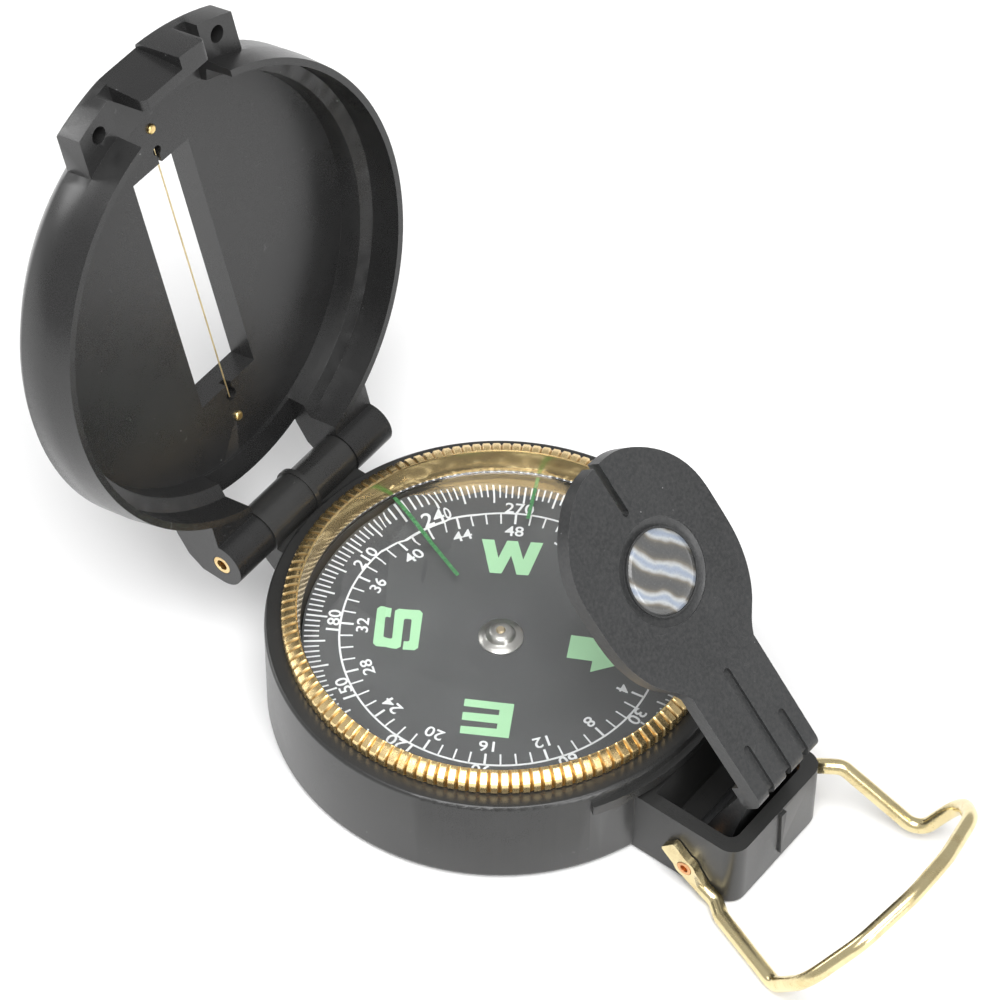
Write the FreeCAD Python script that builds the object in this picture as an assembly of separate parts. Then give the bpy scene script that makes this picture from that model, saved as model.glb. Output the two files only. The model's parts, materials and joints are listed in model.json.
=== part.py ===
import FreeCAD, Part
import math
import os

os.makedirs("parts", exist_ok=True)
V = FreeCAD.Vector

# ---- overall sizes, mm ------------------------------------------------------
CASE_R = 27.5          # outer radius of the round case
CASE_H = 13.5          # height of the round case
CASE_WALL = 2.8        # thickness of the case wall
CASE_FLOOR = 1.6       # thickness of the case bottom
BORE_R = CASE_R - CASE_WALL
BEZEL_R = CASE_R - 2.0     # outer radius of the turning bezel
BEZEL_H = 2.4              # height of the bezel above the case
BEZEL_TEETH = 130          # teeth of its knurl
GLASS_T = 1.05             # thickness of the clear crystal
GLASS_TOP = CASE_H - 1.0   # height of the crystal's upper face
GLASS_R = BORE_R - 1.05    # radius of the crystal
DIAL_R = CASE_R - 4.3      # radius of the floating dial
DIAL_Z = CASE_H - 3.8      # height of the printed face of the dial
DIAL_NORTH = 30.0          # heading of the dial's north mark, degrees from +X
BOX_X = CASE_R + 12.9      # outer face of the bracket box
BOX_W = 8.7                # half width of the bracket box
BOX_H = CASE_H - 3.6       # height of the bracket box
BOX_WALL = 1.8             # wall of the bracket box
PIN_X = BOX_X - 6.3        # shared axle of the lens arm and the thumb loop
PIN_Z = BOX_H - 6.1
PIN_R = 0.95
HINGE_X = -CASE_R - 2.8    # axis of the lid hinge
HINGE_Z = CASE_H + 0.5
HINGE_W = 14.2             # half length of the lid hinge
KNUCKLE_W = 7.8            # half length of the case's share of the hinge
KNUCKLE_R = 2.9            # radius of the hinge barrels
HINGE_PIN_R = 1.2          # radius of the hinge pin
LID_R = CASE_R + 0.95      # outer radius of the lid
LID_DEPTH = 7.2            # depth of the lid from rim to inner face
LID_PLATE = 3.7            # thickness of the lid plate
LID_OPEN = 104.9           # lid angle of the rest pose
SLOT_X0 = -15.8            # sighting slot of the lid
SLOT_X1 = 17.2
SLOT_W = 4.75              # half width of the sighting slot
LUG_R = LID_R + 4.75       # radius of the lid's clasp lug
LUG_W = 13.0               # half width of the clasp lug
PASS_W = 7.6               # half width of the gap the lens arm passes through
ARM_OPEN = 48.9            # lens arm angle of the rest pose
ARM_T = 2.0                # thickness of the arm
ARM_LIFT = 0.2             # gap between the folded arm and the bezel
ARM_UP = CASE_H + BEZEL_H + ARM_LIFT + ARM_T - PIN_Z   # upper face of the arm above its axle
NECK_W = 5.7               # half width of the arm's neck
NECK_END = 5.2             # distance from axle to the finger ends of the neck
LENS_U = 34.3              # distance from axle to lens centre
LENS_R = 4.9               # clear radius of the lens
LENS_CROWN = 0.5           # height of the lens dome above its edge
LENS_SEAT = 0.95           # depth of the lens seat in the underside of the arm
RECESS_R = LENS_R + 1.3    # outer radius of the groove round the lens
SLIT_W = 0.47              # half width of the slit in the head of the arm
SLIT_END = 42.0            # distance from axle to the slit's inner end
GROOVE_W = 0.55            # half width of the grooves along the neck
FINGER_PITCH = 3.3         # distance between those grooves
WIRE_R = 0.92              # radius of the thumb loop wire
GAP = 0.1                  # face gap between moving pieces
LINE_LONG = 160.5          # headings of the two index lines on the crystal
LINE_SHORT = 116.5

RIM_Z = CASE_H + GAP
PIN_LEFT = SLOT_X0 - 4.9   # the two pins that hold the sight wire
PIN_RIGHT = SLOT_X1 + 4.8
WIRE_PIN_R = 0.62          # their radius
FIT = 0.05                 # radial clearance of a running fit
FAR = 60.0                 # reach of a cut that goes right through the compass


def cyl(r, h, x=0.0, y=0.0, z=0.0):
    return Part.makeCylinder(r, h, V(x, y, z))


def ycyl(r, y0, y1, x, z):
    return Part.makeCylinder(r, y1 - y0, V(x, y0, z), V(0, 1, 0))


def box(x0, x1, y0, y1, z0, z1):
    return Part.makeBox(x1 - x0, y1 - y0, z1 - z0, V(x0, y0, z0))


def spin(points):
    """Solid of revolution about Z from (r, z) points."""
    pts = [V(r, 0, z) for r, z in points]
    face = Part.Face(Part.makePolygon(pts + [pts[0]]))
    return face.revolve(V(0, 0, 0), V(0, 0, 1), 360)


def slab(points, y0, y1):
    """Plate between y0 and y1 from (x, z) points."""
    pts = [V(x, y0, z) for x, z in points]
    face = Part.Face(Part.makePolygon(pts + [pts[0]]))
    return face.extrude(V(0, y1 - y0, 0))


def upright(points, z0, z1):
    """Plate between z0 and z1 from (x, y) points."""
    pts = [V(x, y, z0) for x, y in points]
    face = Part.Face(Part.makePolygon(pts + [pts[0]]))
    return face.extrude(V(0, 0, z1 - z0))


def edges_where(shape, test):
    out = []
    for e in shape.Edges:
        if test(e):
            out.append(e)
    return out


def soften(shape, radius, test):
    picked = edges_where(shape, test)
    if not picked:
        return shape
    return shape.makeFillet(radius, picked)


def is_circle(e, r, z):
    c = e.Curve
    if not hasattr(c, "Radius"):
        return False
    return abs(c.Radius - r) < 1e-3 and abs(c.Center.z - z) < 1e-3


def is_vertical(e):
    if len(e.Vertexes) != 2:
        return False
    a, b = e.Vertexes[0].Point, e.Vertexes[1].Point
    return abs(a.x - b.x) < 1e-6 and abs(a.y - b.y) < 1e-6


# ---- placing in the rest pose ----------------------------------------------
def lid_pose(shape):
    s = shape.copy()
    s.rotate(V(HINGE_X, 0, HINGE_Z), V(0, -1, 0), LID_OPEN)
    return s


def arm_pose(shape):
    """Arm pieces are drawn folded flat, then raised."""
    s = shape.copy()
    s.rotate(V(PIN_X, 0, PIN_Z), V(0, 1, 0), ARM_OPEN)
    return s


# ---- case -------------------------------------------------------------------
def case_shell():
    outer = cyl(CASE_R, CASE_H)
    outer = soften(outer, 1.0, lambda e: is_circle(e, CASE_R, 0))
    outer = soften(outer, 0.5, lambda e: is_circle(e, CASE_R, CASE_H))
    return outer


def bracket_outer():
    b = box(CASE_R - 5, BOX_X, -BOX_W, BOX_W, 0, BOX_H)
    b = soften(b, 2.2, lambda e: is_vertical(e) and e.Vertexes[0].X > BOX_X - 0.01)
    b = soften(b, 0.5, lambda e: e.BoundBox.ZMax < 0.01 and e.BoundBox.XMax > CASE_R)
    return b


def bracket_cavity():
    inner = BOX_W - BOX_WALL
    c = box(CASE_R + 0.25, BOX_X - BOX_WALL, -inner, inner, 1.1, BOX_H + 1)
    c = soften(c, 1.2, lambda e: is_vertical(e) and e.Vertexes[0].X > CASE_R + 2)
    return c


def bracket_ledges():
    """Lip round the case above the bracket."""
    z = CASE_H - 2.8
    ring = cyl(CASE_R + 0.8, 1.5, z=z).cut(cyl(CASE_R - 1.0, 1.5, z=z))
    reach = 2 * CASE_R
    pts = [(0, 0)]
    for a in (-30.5, 0.0, 30.5):
        pts.append((reach * math.cos(math.radians(a)), reach * math.sin(math.radians(a))))
    return ring.common(upright(pts, z - 1, z + 3))


def bracket_rib():
    """Rib on the end face of the bracket that tapers downwards."""
    pts = [V(BOX_X - 0.4, -0.5, BOX_H - 0.5), V(BOX_X - 0.4, 0.5, BOX_H - 0.5), V(BOX_X - 0.4, 0.0, 1.8)]
    face = Part.Face(Part.makePolygon(pts + [pts[0]]))
    return face.extrude(V(0.8, 0, 0))


def case_knuckles():
    """Two barrels of the case's hinge with raised collars, and their web to the wall."""
    x = HINGE_X
    z = HINGE_Z
    w = KNUCKLE_W
    body = ycyl(KNUCKLE_R + 0.05, -w, 0.3, x, z).fuse(ycyl(KNUCKLE_R - 0.25, 0.2, w, x, z))
    for y in (-w, -0.2):
        body = body.fuse(ycyl(KNUCKLE_R + 0.3, y, y + 0.65, x, z))
    web = slab([(x, z - 2.6), (x + 4.5, z - 7.0), (x + 5.2, z - 7.0), (x + 5.2, z - 0.9), (x, z - 0.9)], -w, w)
    return body.fuse(web)


def make_case_body():
    body = case_shell().fuse(bracket_outer())
    body = body.fuse(bracket_ledges()).fuse(bracket_rib())
    body = body.fuse(case_knuckles())
    body = body.cut(cyl(BORE_R, CASE_H, z=CASE_FLOOR))
    body = body.cut(cyl(BORE_R + 0.4, 0.8, z=CASE_H - 0.95))
    body = body.cut(bracket_cavity())
    body = body.cut(ycyl(PIN_R, -FAR, FAR, PIN_X, PIN_Z))
    body = body.cut(ycyl(HINGE_PIN_R, -FAR, FAR, HINGE_X, HINGE_Z))
    return body.removeSplitter()


# ---- hinge pin --------------------------------------------------------------
def make_hinge_pin():
    """Hollow-ended rivet through the hinge barrels."""
    hollow = HINGE_PIN_R - 0.5
    deep = 2.0
    pin = ycyl(HINGE_PIN_R, -HINGE_W, HINGE_W, HINGE_X, HINGE_Z)
    pin = pin.cut(ycyl(hollow, -FAR, deep - HINGE_W, HINGE_X, HINGE_Z))
    return pin.cut(ycyl(hollow, HINGE_W - deep, FAR, HINGE_X, HINGE_Z))


# ---- lid, drawn closed ------------------------------------------------------
def lid_cup():
    d = LID_DEPTH
    t = LID_PLATE
    r = LID_R
    pts = [(0, d), (r - 3.3, d), (r - 2.95, 4.5), (r - 1.3, 4.0), (r - 1.2, 0),
           (r - 0.35, 0), (r, 3.4), (r, d - 0.1), (r - 0.7, d + 0.9), (r - 3.3, d + t - 0.3),
           (r - 3.9, d + t), (0, d + t)]
    cup = spin([(a, b + RIM_Z) for a, b in pts])
    return cup


def lid_lug():
    """Clasp lug outside the wall, with the raised block that carries the finger notch."""
    z = RIM_Z
    x = LUG_R
    plate = cyl(x, 3.6, z=z + 3.5).common(box(x - 13, x + 7, -LUG_W, LUG_W, 0, 2 * CASE_H + 10))
    plate = soften(plate, 0.5, lambda e: e.BoundBox.ZMin > z + 7.09 and e.BoundBox.XMin > x - 12)
    block = cyl(x, 5.6, z=z + 0.25).common(box(x - 3.0, x + 7, -5.4, 5.6, 0, 2 * CASE_H + 10))
    block = soften(block, 0.8, lambda e: abs(e.BoundBox.YMax - e.BoundBox.YMin) < 0.1
                   and e.BoundBox.ZMax < z + 0.3)
    return plate, block


def finger_notch():
    """Sloping notch in the outer face of the clasp block."""
    x = LUG_R
    z = RIM_Z
    return slab([(x - 1.8, z - 1), (x + 6, z - 1), (x + 6, z + 7.3), (x - 0.65, z + 7.3)], -5.5, 1.25)


def lid_ears():
    """Hinge barrels of the lid with their webs up to the wall."""
    x = HINGE_X
    z = HINGE_Z
    out = None
    for y0, y1 in ((-HINGE_W, -KNUCKLE_W - FIT), (KNUCKLE_W + FIT, HINGE_W)):
        barrel = ycyl(KNUCKLE_R, y0, y1, x, z)
        web = slab([(x - 2.75, z + 0.9), (x - 2.0, z + 3.6), (x - 0.2, z + 5.3), (x + 2.6, z + 6.3),
                    (x + 7.2, z + 6.7), (x + 7.2, z - 0.35), (x + 0.5, z - 0.35)], y0, y1)
        piece = barrel.fuse(web)
        out = piece if out is None else out.fuse(piece)
    return out


def wire_grooves():
    z = RIM_Z + LID_DEPTH
    right = box(SLOT_X1 - 0.5, SLOT_X1 + 2.3, -0.22, 0.22, z - 0.5, z + 0.9)
    left = box(SLOT_X0 - 2.2, SLOT_X0 + 0.5, -0.45, 0.45, z - 0.5, z + 1.2)
    eye_right = cyl(0.62, 1.7, x=SLOT_X1 + 1.7, z=z - 0.5)
    eye_left = cyl(0.8, 1.7, x=SLOT_X0 - 1.6, z=z - 0.5)
    return right.fuse(left).fuse(eye_right).fuse(eye_left)


def make_lid():
    z = RIM_Z
    plate, block = lid_lug()
    lid = lid_cup().fuse(plate)
    cavity = spin([(0, z - 9), (LID_R - 1.2, z - 9), (LID_R - 1.2, z), (LID_R - 1.3, z + 4.0),
                   (LID_R - 2.95, z + 4.5), (LID_R - 3.3, z + LID_DEPTH), (0, z + LID_DEPTH)])
    lid = lid.fuse(lid_ears())
    lid = lid.cut(cavity)
    lid = lid.cut(box(LID_R - 8.5, LUG_R + 1, -PASS_W, PASS_W, z - 1, z + 5.4))
    lid = lid.fuse(block).cut(finger_notch())
    w = KNUCKLE_W + FIT
    lid = lid.cut(box(HINGE_X - 10, HINGE_X + 10, -w, w, z - 5, z + LID_DEPTH - 0.4))
    lid = lid.cut(box(SLOT_X0, SLOT_X1, -SLOT_W, SLOT_W, z, z + 20))
    lid = lid.cut(wire_grooves())
    for y in (-10.1, 10.1):
        lid = lid.cut(cyl(1.05, 2.6, x=LUG_R - 3.8, y=y, z=z + 3.4))
    for x in (PIN_RIGHT, PIN_LEFT):
        lid = lid.cut(cyl(WIRE_PIN_R, 2.2, x=x, z=z + LID_DEPTH))
    lid = lid.cut(ycyl(HINGE_PIN_R + FIT, -FAR, FAR, HINGE_X, HINGE_Z))
    return lid_pose(lid.removeSplitter())


def make_sight_wire():
    z = RIM_Z + LID_DEPTH + 0.5
    x0 = SLOT_X0 - 2.2
    return lid_pose(Part.makeCylinder(0.1, SLOT_X1 + 2.2 - x0, V(x0, 0, z), V(1, 0, 0)))


def make_wire_pins():
    z = RIM_Z + LID_DEPTH
    out = []
    for x in (PIN_RIGHT, PIN_LEFT):
        stem = cyl(WIRE_PIN_R, 2.6, x=x, z=z - 0.4)
        stem = soften(stem, 0.3, lambda e: is_circle(e, WIRE_PIN_R, z - 0.4))
        out.append(lid_pose(stem))
    return Part.Compound(out)


# ---- bezel and crystal ------------------------------------------------------
def make_bezel_ring():
    z0 = RIM_Z
    top = CASE_H + BEZEL_H
    r = BEZEL_R
    bore = BORE_R - 0.06
    low = GLASS_TOP - 1.2
    pts = [(GLASS_R, low), (bore, low), (bore, GLASS_TOP), (bore - 0.46, GLASS_TOP),
           (bore - 0.46, z0 - 0.2), (bore, z0 - 0.2), (bore, z0), (r - 0.2, z0),
           (r, z0 + 0.2), (r, top - 0.8), (r - 1.2, top - 0.1), (r - 1.7, top), (r - 1.9, top - 0.15),
           (r - 2.3, GLASS_TOP), (GLASS_R, GLASS_TOP)]
    ring = spin(pts)
    cutters = []
    for i in range(BEZEL_TEETH):
        a = 2 * math.pi * i / BEZEL_TEETH
        place = V((r + 0.1) * math.cos(a), (r + 0.1) * math.sin(a), z0 - 0.5)
        cutters.append(Part.makeCylinder(0.3, 4, place))
    return ring.cut(Part.Compound(cutters))


def make_retaining_ring():
    ring = Part.makeTorus(BORE_R + 0.08, 0.32, V(0, 0, CASE_H - 0.55))
    wedge = upright([(0, 0), (40, -2.0), (40, 2.0)], CASE_H - 1.5, CASE_H + 0.5)
    return ring.cut(wedge)


def make_crystal():
    disc = cyl(GLASS_R, GLASS_T, z=GLASS_TOP - GLASS_T)
    a = math.radians(LINE_LONG)
    r = 4.2
    h = 0.75
    ball = (r * r + h * h) / (2 * h)
    cx = (GLASS_R - 5.05) * math.cos(a)
    cy = (GLASS_R - 5.05) * math.sin(a)
    bump = Part.makeSphere(ball, V(cx, cy, GLASS_TOP + h - ball))
    keep = cyl(r, 2.0, x=cx, y=cy, z=GLASS_TOP - 0.5)
    return disc.fuse(bump.common(keep)).removeSplitter()


def index_line(r0, r1, angle):
    s = box(r0, r1, -0.22, 0.22, GLASS_TOP - GLASS_T - 0.08, GLASS_TOP - GLASS_T)
    s.rotate(V(0, 0, 0), V(0, 0, 1), angle)
    return s


def make_index_long():
    return index_line(9.3, GLASS_R - 0.4, LINE_LONG)


def make_index_short():
    return index_line(16.8, GLASS_R - 0.4, LINE_SHORT)


# ---- dial capsule -----------------------------------------------------------
def make_capsule_cup():
    r = BORE_R - 0.3
    z = CASE_FLOOR
    top = GLASS_TOP - 1.6
    return spin([(0, z), (r, z), (r, top), (r - 0.8, top), (r - 0.8, z + 0.8), (0, z + 0.8)])


def make_pivot_post():
    z = CASE_FLOOR + 0.8
    return spin([(0, z), (3.0, z), (3.0, z + 0.7), (0.9, z + 1.0), (0.6, DIAL_Z - 1.6),
                 (0.25, DIAL_Z - 0.2), (0, DIAL_Z + 0.3)])


def make_dial_card():
    return cyl(DIAL_R, 0.5, z=DIAL_Z - 0.5).cut(cyl(1.9, 2, z=DIAL_Z - 1))


def make_dial_magnet():
    m = box(-17, 17, -2.2, 2.2, DIAL_Z - 1.6, DIAL_Z - 0.5)
    m = m.cut(cyl(2.0, 4, z=DIAL_Z - 3))
    m.rotate(V(0, 0, 0), V(0, 0, 1), DIAL_NORTH)
    return m


def make_jewel_cap():
    z = DIAL_Z
    return spin([(1.2, z - 0.9), (1.9, z - 0.9), (1.9, z), (2.65, z), (2.65, z + 0.2),
                 (2.25, z + 0.42), (1.75, z + 0.58), (1.45, z + 1.1), (1.15, z + 1.3),
                 (0.55, z + 1.3), (0.55, z + 0.7), (1.2, z + 0.55)])


def make_jewel():
    z = DIAL_Z
    return spin([(0, z + 0.4), (0.1, z + 0.32), (0.3, z + 0.1), (0.75, z + 0.1), (0.75, z + 0.55),
                 (1.15, z + 0.55), (0.55, z + 0.7), (0.55, z + 1.3), (0.4, z + 1.5), (0, z + 1.5)])


# ---- lens arm, drawn folded flat -------------------------------------------
def head_outline():
    """Edge of the arm's round head, from one side of the neck to the other."""
    half = [(48.9, 0.0), (48.55, 3.2), (47.0, 6.1), (44.5, 8.7), (41.7, 10.35), (39.0, 11.05),
            (35.6, 11.15), (32.4, 11.1), (29.6, 10.75), (26.9, 9.9), (24.2, 8.3), (22.4, 6.7),
            (20.9, NECK_W + 0.1)]
    one_side = [V(PIN_X - u, v, 0) for u, v in reversed(half)]
    other_side = [V(PIN_X - u, -v, 0) for u, v in half[1:]]
    return one_side + other_side


def arm_plate():
    """Head and neck of the arm, one flat plate."""
    edge = head_outline()
    curve = Part.BSplineCurve()
    curve.interpolate(edge)
    neck_end = PIN_X - NECK_END - 2.0
    corners = [edge[-1], V(neck_end, -NECK_W, 0), V(neck_end, NECK_W, 0), edge[0]]
    sides = [Part.makeLine(p, q) for p, q in zip(corners, corners[1:])]
    face = Part.Face(Part.Wire([curve.toShape()] + sides))
    face.translate(V(0, 0, PIN_Z + ARM_UP - ARM_T))
    return face.extrude(V(0, 0, ARM_T))


def arm_root():
    """Rounded finger ends of the neck, full width."""
    t = PIN_Z + ARM_UP
    x = PIN_X - NECK_END
    blk = box(x - 3.0, x, -NECK_W, NECK_W, t - 3.2, t)
    blk = soften(blk, 1.4, lambda e: e.BoundBox.XMin > x - 0.01 and e.BoundBox.ZMin > t - 0.01)
    blk = soften(blk, 0.8, lambda e: e.BoundBox.XMin > x - 0.01 and e.BoundBox.YMax - e.BoundBox.YMin > 5
                 and e.BoundBox.ZMax < t - 3.1)
    return blk


def arm_leg():
    """Bent leg from the neck down to the axle barrel, with a rounded cross beam."""
    x = PIN_X
    z = PIN_Z
    t = z + ARM_UP
    w = 4.6
    pts = [(x - 7.2, t - 1.8), (x - 7.2, CASE_H + 0.8), (x - 5.9, CASE_H - 0.4), (x - 3.4, z + 3.6),
           (x - 2.1, z + 0.9), (x + 2.2, z - 0.6), (x + 1.9, z + 1.4), (x - 1.5, z + 5.6),
           (x - 4.3, CASE_H - 0.1), (x - 5.4, t - 1.8)]
    beam = ycyl(1.05, -w, w, x - 2.1, z + 4.6)
    return slab(pts, -w, w).fuse(ycyl(2.3, -w, w, x, z)).fuse(beam)


def arm_grooves():
    """Three grooves along the neck that run out between the fingers."""
    t = PIN_Z + ARM_UP
    w = GROOVE_W
    out = None
    for v, top in ((0.0, 20.6), (FINGER_PITCH, 12.2), (-FINGER_PITCH, 12.2)):
        x0 = PIN_X - top + w
        g = box(x0, PIN_X, v - w, v + w, t - 0.5, t + 1)
        g = g.fuse(cyl(w, 1.5, x=x0, y=v, z=t - 0.5))
        g = g.fuse(box(PIN_X - NECK_END - 0.9, PIN_X, v - w, v + w, t - 3.4, t + 1))
        out = g if out is None else out.fuse(g)
    return out


def lens_opening():
    """Seat, lip and surrounding sloped groove of the lens, one shape to cut away."""
    t = PIN_Z + ARM_UP
    b = t - ARM_T
    cx = PIN_X - LENS_U
    lip = LENS_R + 0.2
    hole = cyl(LENS_R, ARM_T + 2, x=cx, z=b - 1)
    seat = cyl(LENS_R + 0.5, LENS_SEAT, x=cx, z=b)
    groove = spin([(lip, t - 0.5), (lip + 0.25, t - 0.5), (RECESS_R, t - 0.15), (RECESS_R, t + 1), (lip, t + 1)])
    groove.translate(V(cx, 0, 0))
    lowered = cyl(lip + 0.05, 1.0, x=cx, z=t - 0.08)
    return hole.fuse([seat, groove, lowered])


def head_slit():
    """Sighting slit from the end of the head, with a rounded inner end."""
    t = PIN_Z + ARM_UP
    x = PIN_X - SLIT_END - SLIT_W
    return box(x - 15, x, -SLIT_W, SLIT_W, t - 5, t + 1).fuse(cyl(SLIT_W, 6, x=x, z=t - 5))


def make_lens_arm():
    arm = arm_plate().fuse(arm_root()).fuse(arm_leg())
    arm = arm.cut(arm_grooves())
    arm = arm.cut(lens_opening())
    arm = arm.cut(head_slit())
    arm = arm.cut(ycyl(PIN_R + FIT, -FAR, FAR, PIN_X, PIN_Z))
    return arm_pose(arm.removeSplitter())


def make_lens():
    """Stepped lens: flange in the seat, body through the hole, shallow dome on top."""
    b = PIN_Z + ARM_UP - ARM_T
    cx = PIN_X - LENS_U
    r = LENS_R - FIT
    edge = b + ARM_T - 0.15
    flange = cyl(r + 0.5, LENS_SEAT - 0.35, x=cx, z=b + 0.35)
    body = cyl(r, edge - b - 0.35, x=cx, z=b + 0.35)
    ball = (r * r + LENS_CROWN * LENS_CROWN) / (2 * LENS_CROWN)
    dome = Part.makeSphere(ball, V(cx, 0, edge + LENS_CROWN - ball))
    dome = dome.common(cyl(r, 2, x=cx, z=edge))
    return arm_pose(flange.fuse([body, dome]).removeSplitter())


def make_lens_retainer():
    b = PIN_Z + ARM_UP - ARM_T
    cx = PIN_X - LENS_U
    ring = cyl(LENS_R + 0.5, 0.35, x=cx, z=b).cut(cyl(LENS_R - 0.5, 1, x=cx, z=b - 0.3))
    return arm_pose(ring)


# ---- axle and thumb loop ----------------------------------------------------
def make_axle_pin():
    """Pin through the bracket, with a shallow hollow in each end."""
    y = BOX_W + 1.15
    hollow = PIN_R - 0.45
    deep = 0.6
    pin = ycyl(PIN_R, -y, y, PIN_X, PIN_Z)
    pin = pin.cut(ycyl(hollow, -FAR, deep - y, PIN_X, PIN_Z))
    return pin.cut(ycyl(hollow, y - deep, FAR, PIN_X, PIN_Z))


def loop_end(s, lean):
    """Flattened eye of the wire, against the side of the bracket, leaning by an angle."""
    y0 = BOX_W + 0.12
    y1 = y0 + 0.95
    c = math.cos(math.radians(lean))
    n = math.sin(math.radians(lean))
    outline = [(-3.4, -1.05), (-3.1, -1.3), (1.0, -1.3), (4.0, -0.8), (4.0, 0.8), (1.0, 1.3),
               (-3.1, 1.3), (-3.4, 1.05)]
    pts = []
    for a, b in outline:
        pts.append((PIN_X + a * c - b * n, PIN_Z + a * n + b * c))
    eye = slab(pts, y0, y1).fuse(ycyl(1.55, y0, y1, PIN_X, PIN_Z))
    if s < 0:
        eye = eye.mirror(V(0, 0, 0), V(0, 1, 0))
    return eye


# Centre line of the hand-bent loop, from each flattened eye to the middle of the bar.
# Its root is (forward of the axle, outward of the bracket side, above the axle), and the
# rest is the same with the height above the table.
ROOT_NEAR = [(2.1, 0.6, -1.9), (4.4, 0.8, -2.75)]
REST_NEAR = [(6.2, 2.2, 0.95), (16.4, 6.0, 0.95), (21.0, 7.2, 7.0), (24.7, 2.1, 12.2), (26.3, -5.5, 14.3)]
ROOT_FAR = [(2.5, 0.6, 1.6), (5.5, 0.75, 3.8), (7.5, 1.9, 4.0)]
REST_FAR = [(17.3, 3.9, 1.4), (20.9, 6.9, 7.0), (24.7, 2.1, 12.2), (26.3, -5.5, 14.3)]
LOOP_BEND = [1.6, 1.8, 2.2, 6.0, 6.0, 8.0]   # bend radius at each inner point
LEAN_NEAR = -42.0
LEAN_FAR = 32.0


def loop_points(root, rest, side):
    out = []
    for ahead, outward, up in root:
        out.append((PIN_X + ahead, side * (BOX_W + outward), PIN_Z + up))
    for ahead, outward, z in rest:
        out.append((PIN_X + ahead, side * (BOX_W + outward), z))
    return out


def bent_wire(points, radii, wire_r):
    """Round wire along straight runs joined by tangent arcs."""
    pts = [V(*q) for q in points]
    edges = []
    here = pts[0]
    for i in range(1, len(pts) - 1):
        a = (pts[i - 1] - pts[i]).normalize()
        b = (pts[i + 1] - pts[i]).normalize()
        half = a.getAngle(b) / 2
        reach = radii[i - 1] / math.tan(half)
        room = 0.48 * min((pts[i - 1] - pts[i]).Length, (pts[i + 1] - pts[i]).Length)
        reach = min(reach, room)
        radius = reach * math.tan(half)
        bisector = (a + b).normalize()
        centre = pts[i] + bisector * (radius / math.sin(half))
        p = pts[i] + a * reach
        q = pts[i] + b * reach
        m = centre - bisector * radius
        edges.append(Part.makeLine(here, p))
        edges.append(Part.Arc(p, m, q).toShape())
        here = q
    edges.append(Part.makeLine(here, pts[-1]))
    path = Part.Wire(edges)
    prof = Part.Wire([Part.makeCircle(wire_r, pts[0], (pts[1] - pts[0]).normalize())])
    return path.makePipeShell([prof], True, True, 2)


def make_thumb_loop():
    far = loop_points(ROOT_FAR, REST_FAR, 1)
    near = loop_points(ROOT_NEAR, REST_NEAR, -1)
    wire = bent_wire(far + near[::-1], LOOP_BEND + LOOP_BEND[::-1], WIRE_R)
    loop = wire.fuse(loop_end(1, LEAN_FAR)).fuse(loop_end(-1, LEAN_NEAR))
    loop = loop.cut(ycyl(PIN_R + FIT, -FAR, FAR, PIN_X, PIN_Z))
    side = BOX_W + 0.1
    loop = loop.cut(box(PIN_X - 5, PIN_X + 8, -side, side, -5, BOX_H + 2))
    return loop.removeSplitter()


NODES = {
    "case_body": make_case_body,
    "hinge_pin": make_hinge_pin,
    "lid": make_lid,
    "sight_wire": make_sight_wire,
    "wire_pins": make_wire_pins,
    "bezel_ring": make_bezel_ring,
    "bezel_retaining_ring": make_retaining_ring,
    "crystal": make_crystal,
    "index_line_long": make_index_long,
    "index_line_short": make_index_short,
    "capsule_cup": make_capsule_cup,
    "pivot_post": make_pivot_post,
    "dial_card": make_dial_card,
    "dial_magnet": make_dial_magnet,
    "jewel_cap": make_jewel_cap,
    "jewel_bearing": make_jewel,
    "lens_arm": make_lens_arm,
    "lens": make_lens,
    "lens_retainer": make_lens_retainer,
    "axle_pin": make_axle_pin,
    "thumb_loop": make_thumb_loop,
}

for name, maker in NODES.items():
    shape = maker()
    shape.exportStep("parts/%s.step" % name)
    print(name, shape.isValid(), len(shape.Solids), round(shape.Volume, 2))
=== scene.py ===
import json
import math

import bmesh
import bpy
from mathutils import Matrix, Vector

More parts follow.
